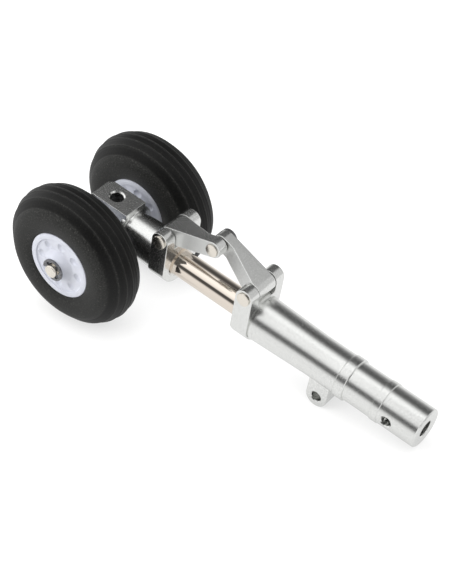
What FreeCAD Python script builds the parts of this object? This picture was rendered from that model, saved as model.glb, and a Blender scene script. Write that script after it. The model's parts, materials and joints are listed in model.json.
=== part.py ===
import FreeCAD, Part
import math
import os

os.makedirs("parts", exist_ok=True)
V = FreeCAD.Vector

# Nose landing gear strut for a model aircraft: sprung telescopic leg, torque links, twin wheels.
# Millimetres. The strut frame has X along the leg from the axle station to the trunnion end,
# Y across the wheels and Z towards the torque links. stand() turns it into the row frame.

# Wheels and axle
tyre_r = 22.0
tyre_side_half = 7.75
tyre_side_r = 14.8
shoulder_half = 6.8
tyre_bead_half = 7.0
tread_groove_pitch = 2.4
tread_groove_count = 3
tread_groove_w = 0.5
tread_groove_d = 0.3
wheel_y = 16.45
rim_r = 10.45
rim_half = 7.05
rim_lip_w = 1.75
dish_depth = 0.45
bead_seat_r = 9.6
rim_lip_t = 1.3
bead_slope = 0.8
hub_boss_r = 3.4
hub_boss_half = 9.0
hub_cone_r = 5.3
dimple_count = 8
dimple_ring_r = 6.75
dimple_r = 1.3
dimple_depth = 0.4
axle_r = 2.0
axle_tail = 1.0
axle_chamfer = 0.3
axle_drop = 3.75
axle_groove_r = 1.6
axle_clip_r = 3.5
axle_clip_t = 0.6
axle_mouth_deg = -117
axle_flat_depth = 0.4
axle_flat_half = 2.6

# Axle block and lower leg
block_x_min = -5.95
block_x_max = 7.25
block_half_w = 4.25
block_top = 8.2
block_bottom = -8.3
block_corner = 1.3
shoulder_r = 7.75
shoulder_t = 1.2
neck_r = 6.3
neck_fillet = 0.7
lock_screw_r = 2.0
lock_hole_chamfer = 0.35
lock_screw_top = 5.3
lock_socket_af = 2.0
lock_socket_depth = 2.0
lock_screw_chamfer = 0.3
piston_socket_x = 12.0
socket_mouth_chamfer = 0.9

# Hinge brackets on the lower leg and on the cylinder
hinge_z = 10.7
hinge_x_low = 22.1
bracket_half_t = 2.85
bracket_half_w = 7.4
bracket_flat_z = -1.9
flank_round = 4.0
leg_belly_inset = 0.5
cylinder_belly_inset = 0.05
ear_r = 2.85
slot_half = 3.75
slot_floor_z = 7.6
bracket_chamfer = 0.25

# Torque links
link_length = 16.0
link_fold = 19.3
link_base_r = 2.8
link_knee_r = 2.65
link_half_w = 3.65
link_taper_start = 1.6
link_lug_length = 3.6
link_lug_gap = 0.1
link_chamfer = 0.2

# Hinge pins: the base pins are pressed into their far ears, the knee pin has a clip
pin_r = 1.5
pin_head_chamfer = 0.12
base_head_r = 2.15
base_head_t = 0.35
pressed_inset = 0.1
knee_head_r = 1.95
knee_head_t = 0.45
knee_pin_tail = 1.0
pin_groove_r = 1.15
pin_clip_r = 2.6
pin_clip_t = 0.6
knee_mouth_deg = -90

# Cylinder, from the bracket to the trunnion end
tube_root_r = 6.85
tube_r = 6.2
tube_taper_end_x = 74.0
collar_x = 84.3
collar_t = 3.1
collar_r = 6.5
collar_slope = 0.3
journal_r = 6.0
ring_x = 96.4
ring_t = 2.4
ring_r = 6.25
end_x = 110.9
end_chamfer = 0.4
chamber_r = 4.65
chamber_end_x = 95.0
trunnion_bore_r = 2.5
trunnion_bore_end_x = 99.0
trunnion_bore_chamfer = 0.2
set_screw_hole_r = 1.5
set_screw_hole_x = 101.7
set_screw_hole_chamfer = 0.45

# Drag lug
lug_x = 79.6
lug_z = -9.1
lug_r = 3.36
lug_half_w = 5.0
lug_hole_r = 1.55
lug_hole_chamfer = 0.2

# Telescopic parts
piston_r = 4.0
piston_head_r = 4.6
piston_head_t = 4.0
stroke = 6.0
gland_r = 5.0
gland_inset = 0.6
gland_length = 8.0
gland_mouth_chamfer = 0.4
stop_ring_t = 1.9
stop_ring_r = 4.5
stop_groove_r = 3.6
stop_ring_split = 1.2
spring_bore_r = 3.0
spring_seat_x = 62.5
spring_mean_r = 2.3
spring_wire = 0.5
spring_turns = 6.0

# Clearances
run_gap = 0.03
seat_gap = 0.015
face_gap = 0.05
side_gap = 0.1
open_pivot_gap = 0.42
overrun = 1.0

knee_x = hinge_x_low + link_length * math.cos(math.radians(link_fold))
knee_z = hinge_z + link_length * math.sin(math.radians(link_fold))
hinge_x_high = 2 * knee_x - hinge_x_low
axle_half = wheel_y + hub_boss_half + face_gap + axle_clip_t + axle_tail
bracket_x_low = hinge_x_low - bracket_half_t
bracket_x_high = hinge_x_high - bracket_half_t
gland_x = bracket_x_high + gland_inset
piston_top_x = chamber_end_x - stroke - face_gap


def turned(profile):
    """Solid of revolution about the strut axis from (x, radius) points."""
    points = [V(x, r, 0) for x, r in profile]
    face = Part.Face(Part.makePolygon(points + [points[0]]))
    return face.revolve(V(0, 0, 0), V(1, 0, 0), 360)


def wheel_turned(profile):
    """Solid of revolution about the axle direction from (radius, y) points."""
    points = [V(r, y, 0) for r, y in profile]
    face = Part.Face(Part.makePolygon(points + [points[0]]))
    return face.revolve(V(0, 0, 0), V(0, 1, 0), 360)


def bar_y(radius, x, z, y_min, y_max):
    """Round bar across the strut."""
    return Part.makeCylinder(radius, y_max - y_min, V(x, y_min, z), V(0, 1, 0))


def bar_x(radius, x_min, x_max):
    """Round bar on the strut axis."""
    return Part.makeCylinder(radius, x_max - x_min, V(x_min, 0, 0), V(1, 0, 0))


def block(x_min, x_max, y_min, y_max, z_min, z_max):
    return Part.makeBox(x_max - x_min, y_max - y_min, z_max - z_min, V(x_min, y_min, z_min))


def countersink_y(radius, chamfer, x, z, y_face, outward):
    """Cone that breaks the edge of a cross hole at a face."""
    start = y_face - outward * chamfer
    tall = chamfer + overrun
    return Part.makeCone(radius, radius + tall, tall, V(x, start, z), V(0, outward, 0))


def bracket_section(x, belly_r):
    """Face across the strut: flat sides that round off on to the flanks of a round belly."""
    reach = math.hypot(bracket_half_w, bracket_flat_z)
    touch = math.atan2(bracket_flat_z, bracket_half_w) - math.acos(belly_r / reach)
    corner = V(x, bracket_half_w, bracket_flat_z)
    belly = V(x, belly_r * math.cos(touch), belly_r * math.sin(touch))
    setback = flank_round * math.tan(-touch / 2)
    flat_end = corner + V(0, 0, setback)
    flank_start = corner + (belly - corner).normalize() * setback
    centre = flat_end - V(0, flank_round, 0)
    middle = centre + (corner - centre).normalize() * flank_round
    top = V(x, bracket_half_w, hinge_z)

    def across(point):
        return V(point.x, -point.y, point.z)

    edges = [
        Part.LineSegment(top, flat_end).toShape(),
        Part.Arc(flat_end, middle, flank_start).toShape(),
        Part.LineSegment(flank_start, belly).toShape(),
        Part.Arc(belly, V(x, 0, -belly_r), across(belly)).toShape(),
        Part.LineSegment(across(belly), across(flank_start)).toShape(),
        Part.Arc(across(flank_start), across(middle), across(flat_end)).toShape(),
        Part.LineSegment(across(flat_end), across(top)).toShape(),
        Part.LineSegment(across(top), top).toShape(),
    ]
    return Part.Face(Part.Wire(edges))


def bracket(hinge_x, belly_r):
    """Torque link bracket: a yoke with two round-topped ears around a link barrel."""
    body = bracket_section(hinge_x - bracket_half_t, belly_r).extrude(V(2 * bracket_half_t, 0, 0))
    body = body.fuse(bar_y(ear_r, hinge_x, hinge_z, -bracket_half_w, bracket_half_w)).removeSplitter()
    broken = []
    for edge in body.Edges:
        middle = edge.BoundBox.Center
        flat_side = abs(abs(middle.y) - bracket_half_w) < 1e-3
        if flat_side and edge.BoundBox.YLength < 1e-3 and middle.z > bracket_flat_z:
            broken.append(edge)
    body = body.makeChamfer(bracket_chamfer, broken)
    gap = block(hinge_x - bracket_half_t - overrun, hinge_x + bracket_half_t + overrun,
                -slot_half, slot_half, slot_floor_z, hinge_z + ear_r + overrun)
    return body.cut(gap)


def hinge_hole(hinge_x):
    reach = bracket_half_w + overrun
    return bar_y(pin_r + seat_gap, hinge_x, hinge_z, -reach, reach)


def outer_cylinder():
    collar_end = collar_x + collar_t
    ring_end = ring_x + ring_t
    body = turned([
        (bracket_x_high + overrun, 0),
        (bracket_x_high + overrun, tube_root_r),
        (hinge_x_high + bracket_half_t, tube_root_r),
        (tube_taper_end_x, tube_r),
        (collar_x - collar_slope, tube_r),
        (collar_x, collar_r),
        (collar_end, collar_r),
        (collar_end, journal_r),
        (ring_x, journal_r),
        (ring_x, ring_r),
        (ring_end, ring_r),
        (ring_end, journal_r),
        (end_x - end_chamfer, journal_r),
        (end_x, journal_r - end_chamfer),
        (end_x, 0),
    ])
    body = body.fuse(bracket(hinge_x_high, bracket_half_w - cylinder_belly_inset))
    lug = block(lug_x - lug_r, lug_x + lug_r, -lug_half_w, lug_half_w, lug_z, 0)
    lug = lug.fuse(bar_y(lug_r, lug_x, lug_z, -lug_half_w, lug_half_w))
    body = body.fuse(lug).removeSplitter()
    mouth_x = bracket_x_high - overrun
    body = body.cut(bar_x(gland_r + seat_gap, mouth_x, gland_x + gland_length + face_gap))
    body = body.cut(bar_x(chamber_r, mouth_x, chamber_end_x))
    body = body.cut(bar_x(trunnion_bore_r, trunnion_bore_end_x, end_x + overrun))
    cone_r = trunnion_bore_r + trunnion_bore_chamfer
    body = body.cut(Part.makeCone(trunnion_bore_r, cone_r + overrun, trunnion_bore_chamfer + overrun,
                                  V(end_x - trunnion_bore_chamfer, 0, 0), V(1, 0, 0)))
    body = body.cut(bar_y(set_screw_hole_r, set_screw_hole_x, 0, -journal_r - overrun, 0))
    body = body.cut(countersink_y(set_screw_hole_r, set_screw_hole_chamfer,
                                  set_screw_hole_x, 0, -journal_r, -1))
    reach = lug_half_w + overrun
    body = body.cut(bar_y(lug_hole_r, lug_x, lug_z, -reach, reach))
    for side in (-1, 1):
        body = body.cut(countersink_y(lug_hole_r, lug_hole_chamfer, lug_x, lug_z, side * lug_half_w, side))
    return body.cut(hinge_hole(hinge_x_high))


def gland_bush():
    gland_end = gland_x + gland_length
    bore = piston_r + run_gap
    return turned([
        (gland_x, bore + gland_mouth_chamfer),
        (gland_x, gland_r - 0.2),
        (gland_x + 0.2, gland_r),
        (gland_end, gland_r),
        (gland_end, bore),
        (gland_x + gland_mouth_chamfer, bore),
    ])


def piston_rod():
    stop_x = gland_x + gland_length + 2 * face_gap
    body = turned([
        (piston_socket_x + face_gap, 0),
        (piston_socket_x + face_gap, piston_r - 0.5),
        (piston_socket_x + face_gap + 0.5, piston_r),
        (stop_x - face_gap, piston_r),
        (stop_x - face_gap, stop_groove_r),
        (stop_x + stop_ring_t + face_gap, stop_groove_r),
        (stop_x + stop_ring_t + face_gap, piston_r),
        (piston_top_x - piston_head_t, piston_r),
        (piston_top_x - piston_head_t, piston_head_r),
        (piston_top_x - 0.4, piston_head_r),
        (piston_top_x, piston_head_r - 0.4),
        (piston_top_x, spring_bore_r),
        (spring_seat_x, spring_bore_r),
        (spring_seat_x, 0),
    ])
    return body


def piston_stop_ring():
    stop_x = gland_x + gland_length + 2 * face_gap
    ring = bar_x(stop_ring_r, stop_x, stop_x + stop_ring_t)
    ring = ring.cut(bar_x(stop_groove_r + seat_gap, stop_x - overrun, stop_x + stop_ring_t + overrun))
    split = block(stop_x - overrun, stop_x + stop_ring_t + overrun,
                  -stop_ring_split / 2, stop_ring_split / 2, 0, stop_ring_r + overrun)
    return ring.cut(split)


def spring():
    """Square-wire compression spring between the piston's bore and the chamber's end wall."""
    start = spring_seat_x + face_gap + spring_wire / 2
    length = chamber_end_x - face_gap - spring_wire / 2 - start
    helix = Part.makeHelix(length / spring_turns, length, spring_mean_r)
    half = spring_wire / 2
    corners = [V(spring_mean_r + u * half, 0, w * half) for u, w in ((-1, -1), (1, -1), (1, 1), (-1, 1), (-1, -1))]
    coil = Part.Wire(helix).makePipeShell([Part.makePolygon(corners)], True, True)
    coil.rotate(V(0, 0, 0), V(0, 1, 0), 90)
    coil.translate(V(start, 0, 0))
    return coil


def lower_leg():
    body = block(block_x_min, block_x_max, -block_half_w, block_half_w, block_bottom, block_top)
    cut_corner = []
    for edge in body.Edges:
        box = edge.BoundBox
        if box.ZLength > block_top and box.XMax < block_x_min + 1e-3 and box.YMin > 0:
            cut_corner.append(edge)
    body = body.makeChamfer(block_corner, cut_corner)
    shoulder_x = block_x_max - shoulder_t
    body = body.fuse(turned([
        (shoulder_x, 0),
        (shoulder_x, shoulder_r),
        (block_x_max, shoulder_r),
        (block_x_max, neck_r + neck_fillet),
        (block_x_max + 0.3 * neck_fillet, neck_r + 0.3 * neck_fillet),
        (block_x_max + neck_fillet, neck_r),
        (bracket_x_low + overrun, neck_r),
        (bracket_x_low + overrun, 0),
    ]))
    body = body.fuse(bracket(hinge_x_low, bracket_half_w - leg_belly_inset)).removeSplitter()
    bracket_end = hinge_x_low + bracket_half_t
    body = body.cut(bar_x(piston_r + seat_gap, piston_socket_x, bracket_end + overrun))
    body = body.cut(Part.makeCone(piston_r, piston_r + socket_mouth_chamfer + overrun,
                                  socket_mouth_chamfer + overrun,
                                  V(bracket_end - socket_mouth_chamfer, 0, 0), V(1, 0, 0)))
    reach = block_half_w + overrun
    body = body.cut(bar_y(axle_r + seat_gap, 0, -axle_drop, -reach, reach))
    body = body.cut(Part.makeCylinder(lock_screw_r + seat_gap, block_top + axle_drop, V(0, 0, -axle_drop)))
    body = body.cut(Part.makeCone(lock_screw_r, lock_screw_r + lock_hole_chamfer + overrun,
                                  lock_hole_chamfer + overrun, V(0, 0, block_top - lock_hole_chamfer)))
    return body.cut(hinge_hole(hinge_x_low))


def axle():
    body = bar_y(axle_r, 0, 0, -axle_half, axle_half)
    body = body.makeChamfer(axle_chamfer, [e for e in body.Edges if e.BoundBox.YLength < 1e-3])
    clip_y = wheel_y + hub_boss_half + face_gap
    for side in (-1, 1):
        inner, outer = sorted((side * (clip_y - face_gap), side * (clip_y + axle_clip_t + face_gap)))
        groove = bar_y(axle_r + overrun, 0, 0, inner, outer).cut(bar_y(axle_groove_r, 0, 0, inner, outer))
        body = body.cut(groove)
    flat = block(-axle_r, axle_r, -axle_flat_half, axle_flat_half, axle_r - axle_flat_depth, axle_r + overrun)
    body = body.cut(flat)
    body.translate(V(0, 0, -axle_drop))
    return body


def axle_lock_screw():
    tip_z = -axle_drop + axle_r - axle_flat_depth + face_gap
    body = Part.makeCylinder(lock_screw_r, lock_screw_top - tip_z, V(0, 0, tip_z))
    body = body.makeChamfer(lock_screw_chamfer, [e for e in body.Edges if e.BoundBox.ZLength < 1e-3])
    corner_r = lock_socket_af / math.sqrt(3)
    corners = [V(corner_r * math.cos(math.radians(60 * k)), corner_r * math.sin(math.radians(60 * k)),
                 lock_screw_top - lock_socket_depth) for k in range(7)]
    socket = Part.Face(Part.makePolygon(corners)).extrude(V(0, 0, lock_socket_depth + overrun))
    return body.cut(socket)


def hub(side):
    """White moulded hub: rim, shallow dish with a ring of dimples, coned centre boss."""
    dish = rim_half - dish_depth
    lip_r = rim_r - rim_lip_w
    bore = axle_r + 2 * run_gap
    outer_boss = [
        (bore, hub_boss_half),
        (hub_boss_r, hub_boss_half),
        (hub_boss_r + 0.4, hub_boss_half - 1.1),
        (hub_cone_r, dish),
    ]
    inner_end = wheel_y - block_half_w - side_gap
    inner_boss = [
        (hub_cone_r, -dish),
        (hub_boss_r, -dish - 1.2),
        (hub_boss_r, -inner_end),
        (bore, -inner_end),
    ]
    rim = [
        (lip_r - 0.25, dish),
        (lip_r, rim_half),
        (rim_r, rim_half),
        (rim_r, rim_half - rim_lip_t),
        (bead_seat_r, rim_half - rim_lip_t - bead_slope),
    ]
    body = wheel_turned(outer_boss + rim + [(r, -y) for r, y in reversed(rim)] + inner_boss)
    for face_side in (-1, 1):
        for k in range(dimple_count):
            turn = 2 * math.pi * k / dimple_count
            floor = V(dimple_ring_r * math.cos(turn), face_side * (dish - dimple_depth),
                      dimple_ring_r * math.sin(turn))
            body = body.cut(Part.makeCone(dimple_r - dimple_depth, dimple_r, dimple_depth, floor,
                                          V(0, face_side, 0)))
    if side < 0:
        body = body.mirror(V(0, 0, 0), V(0, 1, 0))
    body.translate(V(0, side * wheel_y, -axle_drop))
    return body


def tyre_radius(offset):
    """Crown radius of the tyre at a distance from the wheel's middle plane."""
    table = [(0, tyre_r), (1.0, tyre_r - 0.07), (2.0, tyre_r - 0.28), (3.0, tyre_r - 0.62),
             (4.0, tyre_r - 1.1), (5.0, tyre_r - 1.95), (6.0, tyre_r - 3.1), (shoulder_half, tyre_r - 4.25)]
    for (y0, r0), (y1, r1) in zip(table, table[1:]):
        if offset <= y1:
            return r0 + (r1 - r0) * (offset - y0) / (y1 - y0)
    return table[-1][1]


def tyre(side):
    """Solid rubber tyre: rounded ribbed crown, smooth bulging sidewalls, beads in the rim's channel."""
    crown = []
    for k in range(tread_groove_count):
        centre = (k - (tread_groove_count - 1) / 2) * tread_groove_pitch
        crown.append((tyre_radius(abs(centre - tread_groove_w / 2)), centre - tread_groove_w / 2))
        crown.append((tyre_radius(abs(centre)) - tread_groove_d, centre))
        crown.append((tyre_radius(abs(centre + tread_groove_w / 2)), centre + tread_groove_w / 2))
    wall = [
        (tyre_radius(4.2), 4.2),
        (tyre_radius(5.4), 5.4),
        (tyre_radius(shoulder_half), shoulder_half),
        (tyre_side_r + 1.9, tyre_side_half - 0.35),
        (tyre_side_r, tyre_side_half),
        (tyre_side_r - 2.1, tyre_side_half - 0.12),
        (rim_r + face_gap, tyre_bead_half),
        (rim_r + face_gap, rim_half - rim_lip_t - face_gap),
        (bead_seat_r + face_gap, rim_half - rim_lip_t - bead_slope - face_gap),
    ]
    body = wheel_turned([(r, -y) for r, y in reversed(wall)] + crown + wall)
    body.translate(V(0, side * wheel_y, -axle_drop))
    return body


def e_clip(shaft_r, outer_r, thick, mouth_deg):
    """Retaining clip in the XY plane: open ring with three prongs that grip a groove."""
    relief_r = 0.4 * shaft_r + 0.6 * outer_r
    body = Part.makeCylinder(outer_r, thick).cut(Part.makeCylinder(relief_r, thick))
    prong_w = 0.55 * shaft_r
    prong = Part.makeBox(relief_r + 0.3 * (outer_r - relief_r), prong_w, thick, V(0, -prong_w / 2, 0))
    for turn in (58, 180, 302):
        arm = prong.copy()
        arm.rotate(V(0, 0, 0), V(0, 0, 1), turn)
        body = body.fuse(arm)
    body = body.cut(Part.makeCylinder(shaft_r + seat_gap, thick))
    mouth_w = 1.5 * shaft_r
    body = body.cut(Part.makeBox(outer_r + overrun, mouth_w, thick, V(0, -mouth_w / 2, 0)))
    body.rotate(V(0, 0, 0), V(0, 0, 1), -mouth_deg)
    body.rotate(V(0, 0, 0), V(1, 0, 0), -90)
    return body.removeSplitter()


def axle_clip(side):
    clip = e_clip(axle_groove_r, axle_clip_r, axle_clip_t, axle_mouth_deg)
    near = wheel_y + hub_boss_half + face_gap
    clip.translate(V(0, near if side > 0 else -near - axle_clip_t, -axle_drop))
    return clip


def headed_pin(x, z, face_y, head_r, head_t, end_y):
    """Pin across a hinge, with a flat head on the near face."""
    body = bar_y(pin_r, x, z, -face_y, end_y)
    head = bar_y(head_r, x, z, -face_y - head_t, -face_y)
    rim = [e for e in head.Edges if e.BoundBox.YLength < 1e-3 and e.BoundBox.YMax < -face_y - head_t / 2]
    return body.fuse(head.makeChamfer(pin_head_chamfer, rim))


def base_pin(x):
    """Pin of a bracket, its plain end pressed into the far ear."""
    return headed_pin(x, hinge_z, bracket_half_w + face_gap, base_head_r, base_head_t,
                      bracket_half_w - pressed_inset)


def knee_pin():
    clip_y = link_half_w + face_gap
    body = headed_pin(knee_x, knee_z, clip_y, knee_head_r, knee_head_t, link_half_w + knee_pin_tail)
    groove = bar_y(pin_r + overrun, knee_x, knee_z, clip_y - face_gap, clip_y + pin_clip_t + face_gap)
    return body.cut(groove.cut(bar_y(pin_groove_r, knee_x, knee_z, 0, clip_y + knee_pin_tail)))


def knee_clip():
    clip = e_clip(pin_groove_r, pin_clip_r, pin_clip_t, knee_mouth_deg)
    clip.translate(V(knee_x, link_half_w + face_gap, knee_z))
    return clip


def link(base_x, towards, lug_side, base_hole_r):
    """Torque link: wide barrel at the base, one knee lug on one side of the middle plane."""
    knee = V(link_length, 0, 0)
    rise = math.asin((link_base_r - link_knee_r) / link_length)
    lean = V(math.sin(rise), 0, math.cos(rise))
    top_a = lean * link_base_r
    top_b = knee + lean * link_knee_r
    low_a = V(top_a.x, 0, -top_a.z)
    low_b = V(top_b.x, 0, -top_b.z)
    edges = [
        Part.LineSegment(top_a, top_b).toShape(),
        Part.Arc(top_b, knee + V(link_knee_r, 0, 0), low_b).toShape(),
        Part.LineSegment(low_b, low_a).toShape(),
        Part.Arc(low_a, V(-link_base_r, 0, 0), top_a).toShape(),
    ]
    side_view = Part.Face(Part.Wire(edges))
    side_view.translate(V(0, -link_half_w, 0))
    body = side_view.extrude(V(0, 2 * link_half_w, 0))
    far = link_length + link_knee_r + overrun
    near = -link_base_r - overrun
    plan = [(near, -link_half_w), (link_taper_start, -link_half_w), (link_length - link_lug_length, link_lug_gap),
            (far, link_lug_gap), (far, link_half_w), (near, link_half_w)]
    plan_points = [V(u, v, -link_base_r - overrun) for u, v in plan]
    plan_face = Part.Face(Part.makePolygon(plan_points + [plan_points[0]]))
    body = body.common(plan_face.extrude(V(0, 0, 2 * (link_base_r + overrun))))
    long_edges = []
    for edge in body.Edges:
        box = edge.BoundBox
        if box.XLength > 8 and abs(box.Center.z) > 1:
            long_edges.append(edge)
    body = body.makeChamfer(link_chamfer, long_edges)
    reach = link_half_w + overrun
    body = body.cut(bar_y(base_hole_r, 0, 0, -reach, reach))
    body = body.cut(bar_y(pin_r + (run_gap if towards > 0 else seat_gap), link_length, 0, -reach, reach))
    if lug_side < 0:
        body = body.mirror(V(0, 0, 0), V(0, 1, 0))
    if towards < 0:
        body = body.mirror(V(0, 0, 0), V(1, 0, 0))
    body.rotate(V(0, 0, 0), V(0, 1, 0), -towards * link_fold)
    body.translate(V(base_x, 0, hinge_z))
    return body


def stand_angle():
    """Slope of the plane that the tyres and the drag lug stand on."""
    fall = math.atan2(lug_z + axle_drop, lug_x)
    spread = math.hypot(lug_x, lug_z + axle_drop)
    return fall + math.asin((tyre_r - lug_r) / spread)


def stand(shape):
    """Set a piece down on the tyres and the lug, middle of the whole over the row origin."""
    slope = stand_angle()
    x_min = -axle_drop * math.sin(slope) - tyre_r
    x_max = end_x * math.cos(slope) + (journal_r - end_chamfer) * math.sin(slope)
    floor = -axle_drop * math.cos(slope) - tyre_r
    shape.rotate(V(0, 0, 0), V(0, 1, 0), math.degrees(slope))
    shape.translate(V(-(x_min + x_max) / 2, 0, -floor))
    return shape


open_hole_r = pin_r + open_pivot_gap
pieces = {
    "outer_cylinder": outer_cylinder(),
    "gland_bush": gland_bush(),
    "piston_rod": piston_rod(),
    "piston_stop_ring": piston_stop_ring(),
    "spring": spring(),
    "lower_leg": lower_leg(),
    "axle": axle(),
    "axle_lock_screw": axle_lock_screw(),
    "axle_clip_left": axle_clip(-1),
    "axle_clip_right": axle_clip(1),
    "hub_left": hub(-1),
    "hub_right": hub(1),
    "tyre_left": tyre(-1),
    "tyre_right": tyre(1),
    "lower_link": link(hinge_x_low, 1, -1, open_hole_r),
    "upper_link": link(hinge_x_high, -1, 1, pin_r + run_gap),
    "lower_hinge_pin": base_pin(hinge_x_low),
    "upper_hinge_pin": base_pin(hinge_x_high),
    "knee_pin": knee_pin(),
    "knee_clip": knee_clip(),
}

for name, shape in pieces.items():
    stand(shape)
    shape.exportStep("parts/" + name + ".step")
    print(name, "valid", shape.isValid(), "solids", len(shape.Solids), "volume", round(shape.Volume, 2))
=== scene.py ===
import json
import math

import bmesh
import bpy
from mathutils import Matrix, Vector


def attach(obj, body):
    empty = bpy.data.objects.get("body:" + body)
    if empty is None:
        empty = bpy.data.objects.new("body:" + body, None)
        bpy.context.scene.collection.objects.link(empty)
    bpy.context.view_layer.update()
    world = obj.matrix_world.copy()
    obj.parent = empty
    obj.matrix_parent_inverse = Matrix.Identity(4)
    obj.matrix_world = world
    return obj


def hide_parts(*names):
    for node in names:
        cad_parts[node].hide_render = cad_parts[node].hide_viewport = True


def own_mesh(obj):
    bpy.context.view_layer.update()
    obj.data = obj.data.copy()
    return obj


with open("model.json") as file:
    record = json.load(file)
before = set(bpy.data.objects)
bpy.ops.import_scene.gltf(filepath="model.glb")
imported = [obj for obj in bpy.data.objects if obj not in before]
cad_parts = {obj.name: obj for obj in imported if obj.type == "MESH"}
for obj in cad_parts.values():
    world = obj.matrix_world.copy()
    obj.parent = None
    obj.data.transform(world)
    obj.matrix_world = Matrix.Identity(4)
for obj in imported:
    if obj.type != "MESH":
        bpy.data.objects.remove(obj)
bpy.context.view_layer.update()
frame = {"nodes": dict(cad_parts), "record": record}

# Studio: the leg lies on a white table under a broad ceiling softbox, in a room that is darker
# low down behind it and mid-grey in front. The table and the far wall show white to the camera.
table_size = 6.0
table_color = (0.80, 0.80, 0.79)
table_roughness = 0.7
table_reflected = 0.92
table_glow = 0.66
table_mirrored = 0.85
table_over = 0.45
table_shade_reach = 0.011
contact_shade_depth = 0.35
camera_azimuth = math.radians(38.66)
camera_elevation = math.radians(40.08)
camera_distance = 0.48
camera_lens = 101.92
camera_sensor = 36
look_at = Vector((-0.00983, 0.00922, 0.00904))
room_levels = (
    (0, 0.66), (9, 0.48), (20, 0.24), (38, 0.08), (56, 0.09), (64, 0.24), (72, 0.8), (82, 1.2),
    (118, 1.3), (132, 1.15), (142, 1.0), (146, 0.5), (150, 0.09), (168, 0.09), (174, 0.5), (180, 0.85),
)
windows = ((0.0, 0.35, 0.62), (-0.8, -0.95, 1.5))
camera_corner_level = 0.12
camera_corner_y = (0.0, -0.25)
camera_corner_x = (-0.2, 0.2)


def place_camera():
    data = bpy.data.cameras.new("camera")
    data.lens = camera_lens
    data.sensor_width = camera_sensor
    data.clip_start = 0.01
    camera = bpy.data.objects.new("camera", data)
    bpy.context.scene.collection.objects.link(camera)
    away = Vector((
        math.sin(camera_azimuth) * math.cos(camera_elevation),
        -math.cos(camera_azimuth) * math.cos(camera_elevation),
        math.sin(camera_elevation),
    ))
    camera.location = look_at + camera_distance * away
    camera.rotation_euler = away.to_track_quat("Z", "Y").to_euler()
    bpy.context.scene.camera = camera


def lay_table():
    material = bpy.data.materials.new("white_table")
    material.use_nodes = True
    nodes = material.node_tree.nodes
    links = material.node_tree.links
    surface = nodes["Principled BSDF"]
    surface.inputs["Base Color"].default_value = (*table_color, 1)
    surface.inputs["Roughness"].default_value = table_roughness
    glow = nodes.new("ShaderNodeEmission")
    glow.inputs["Color"].default_value = (1, 1, 1, 1)
    path = nodes.new("ShaderNodeLightPath")
    mirrored = nodes.new("ShaderNodeMath")
    mirrored.operation = "MULTIPLY"
    mirrored.inputs[1].default_value = table_mirrored
    links.new(path.outputs["Is Glossy Ray"], mirrored.inputs[0])
    share = nodes.new("ShaderNodeMath")
    share.operation = "MULTIPLY_ADD"
    share.inputs[1].default_value = table_glow
    links.new(path.outputs["Is Camera Ray"], share.inputs[0])
    links.new(mirrored.outputs[0], share.inputs[2])
    strength = nodes.new("ShaderNodeMath")
    strength.operation = "MULTIPLY_ADD"
    strength.inputs[1].default_value = table_over
    strength.inputs[2].default_value = table_reflected
    links.new(path.outputs["Is Camera Ray"], strength.inputs[0])
    near_shade = nodes.new("ShaderNodeAmbientOcclusion")
    near_shade.samples = 8
    near_shade.inputs["Distance"].default_value = table_shade_reach
    contact = nodes.new("ShaderNodeMapRange")
    contact.inputs["To Min"].default_value = 1 - contact_shade_depth
    links.new(near_shade.outputs["AO"], contact.inputs["Value"])
    shaded = nodes.new("ShaderNodeMath")
    shaded.operation = "MULTIPLY"
    links.new(strength.outputs[0], shaded.inputs[0])
    links.new(contact.outputs["Result"], shaded.inputs[1])
    links.new(shaded.outputs[0], glow.inputs["Strength"])
    mix = nodes.new("ShaderNodeMixShader")
    links.new(share.outputs[0], mix.inputs["Fac"])
    links.new(surface.outputs["BSDF"], mix.inputs[1])
    links.new(glow.outputs["Emission"], mix.inputs[2])
    links.new(mix.outputs["Shader"], nodes["Material Output"].inputs["Surface"])
    bpy.ops.mesh.primitive_plane_add(size=table_size)
    table = bpy.context.object
    table.name = "table"
    table.data.materials.append(material)


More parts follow.
